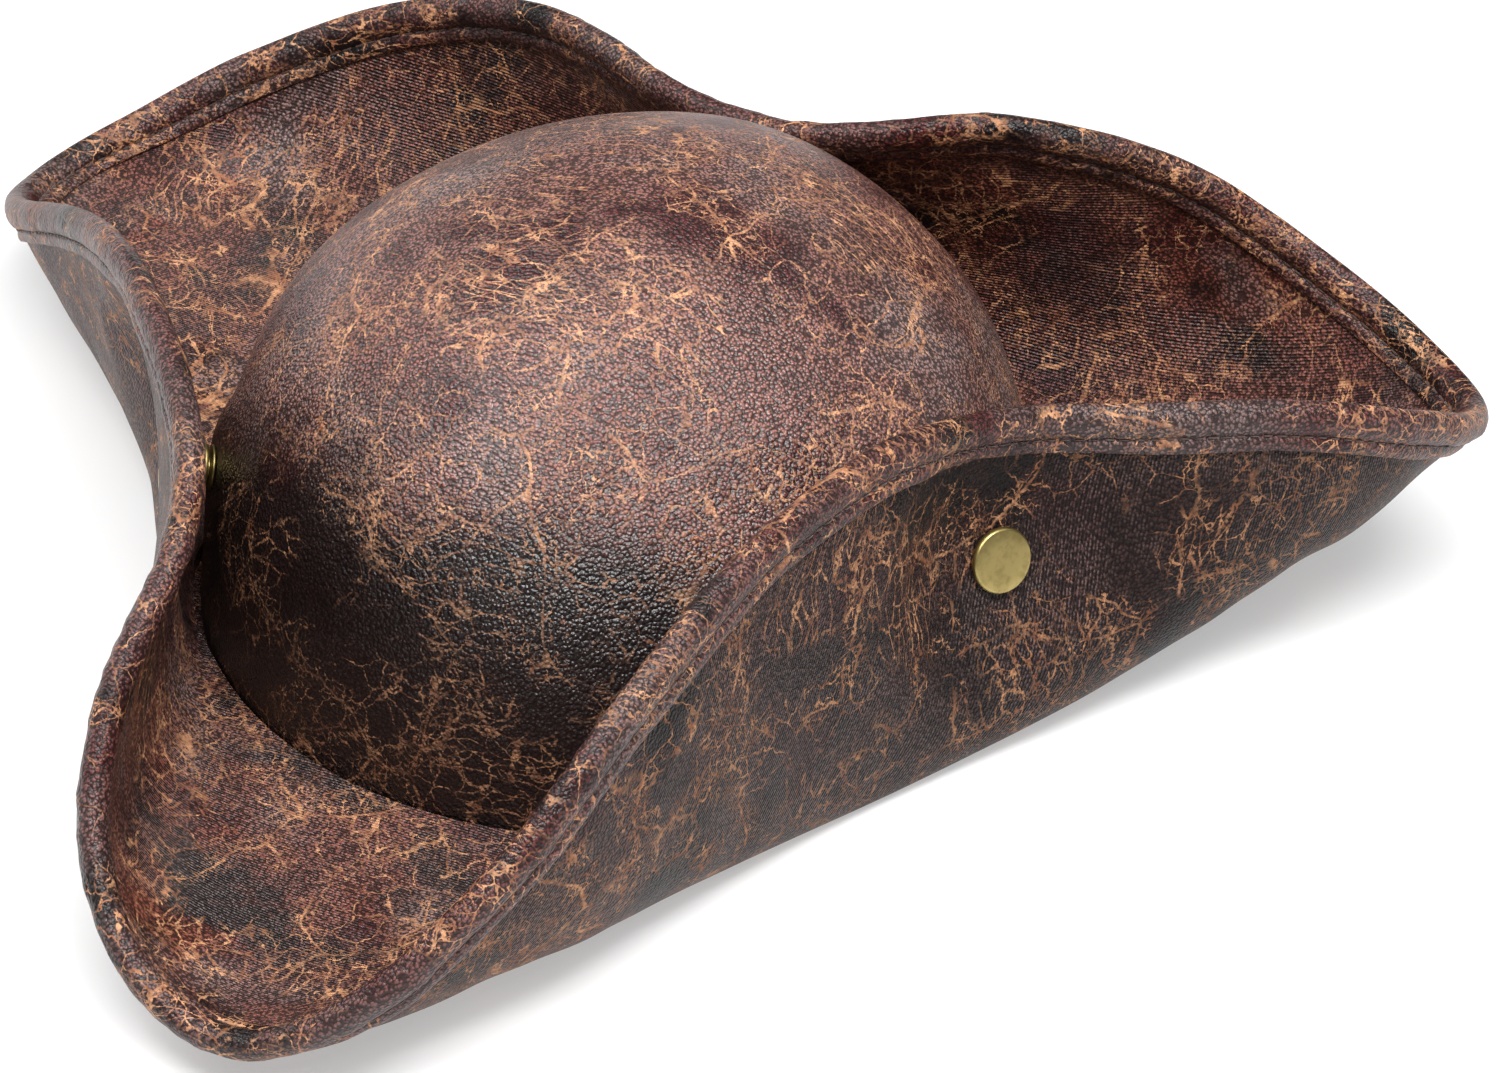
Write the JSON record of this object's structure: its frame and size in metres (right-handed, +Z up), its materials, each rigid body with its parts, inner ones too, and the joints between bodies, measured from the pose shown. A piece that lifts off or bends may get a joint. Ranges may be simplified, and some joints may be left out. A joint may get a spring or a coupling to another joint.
{
  "type": "tricorn hat",
  "caption": "Soft tricorn hat: moulded crown and wide brim folded up on three sides, each fold held to the crown by a snap fastener, so the sides can be let down.",
  "frame": {"origin": "centre of the hat's bounding box, on the surface that it stands on", "axes": "+Z up through the crown, -Y towards the front peak, +X towards the wearer's left side"},
  "size_m": [0.3574, 0.3326, 0.1049],
  "materials": {
    "faux_leather": "distressed, crackled, satin",
    "faux_leather_underside": "distressed, crackled, satin",
    "edge_binding": "distressed, satin",
    "sweatband": "smooth, satin",
    "lining": "plain woven",
    "interlining": "needle felt",
    "edge_wire": "drawn",
    "brass": "antique, satin"
  },
  "bodies": {
    "hat": {"crown_shell": "faux_leather", "crown_interlining": "interlining", "crown_lining": "lining", "sweatband": "sweatband", "brim_base_under_skin": "faux_leather_underside", "brim_base_interlining": "interlining", "brim_base_top_skin": "faux_leather", "edge_binding_tip_right": "edge_binding", "edge_binding_tip_left": "edge_binding", "edge_binding_front": "edge_binding", "edge_wire_tip_right": "edge_wire", "edge_wire_tip_left": "edge_wire", "edge_wire_front": "edge_wire", "snap_right_stud": "brass", "snap_back_stud": "brass", "snap_left_stud": "brass", "snap_right_post": "brass", "snap_back_post": "brass", "snap_left_post": "brass"},
    "flap_right": {"flap_right_under_skin": "faux_leather_underside", "flap_right_interlining": "interlining", "flap_right_top_skin": "faux_leather", "edge_binding_flap_right": "edge_binding", "edge_wire_flap_right": "edge_wire", "snap_right_cap": "brass", "snap_right_socket": "brass"},
    "flap_back": {"flap_back_under_skin": "faux_leather_underside", "flap_back_interlining": "interlining", "flap_back_top_skin": "faux_leather", "edge_binding_flap_back": "edge_binding", "edge_wire_flap_back": "edge_wire", "snap_back_cap": "brass", "snap_back_socket": "brass"},
    "flap_left": {"flap_left_under_skin": "faux_leather_underside", "flap_left_interlining": "interlining", "flap_left_top_skin": "faux_leather", "edge_binding_flap_left": "edge_binding", "edge_wire_flap_left": "edge_wire", "snap_left_cap": "brass", "snap_left_socket": "brass"}
  },
  "joints": [
    {"name": "flap_right_fold", "type": "hinge", "parent": "hat", "child": "flap_right", "pos_m": [0.10934, 0.00099, 0.00385], "axis": [0.4202, 0.9072, 0.0191], "range_deg": [0, 60]},
    {"name": "flap_back_fold", "type": "hinge", "parent": "hat", "child": "flap_back", "pos_m": [-0.00266, 0.15899, 0.00385], "axis": [-1, 0, 0], "range_deg": [0, 60]},
    {"name": "flap_left_fold", "type": "hinge", "parent": "hat", "child": "flap_left", "pos_m": [-0.10266, -0.01051, 0.00285], "axis": [0.4662, -0.8846, -0.0106], "range_deg": [0, 45]}
  ]
}
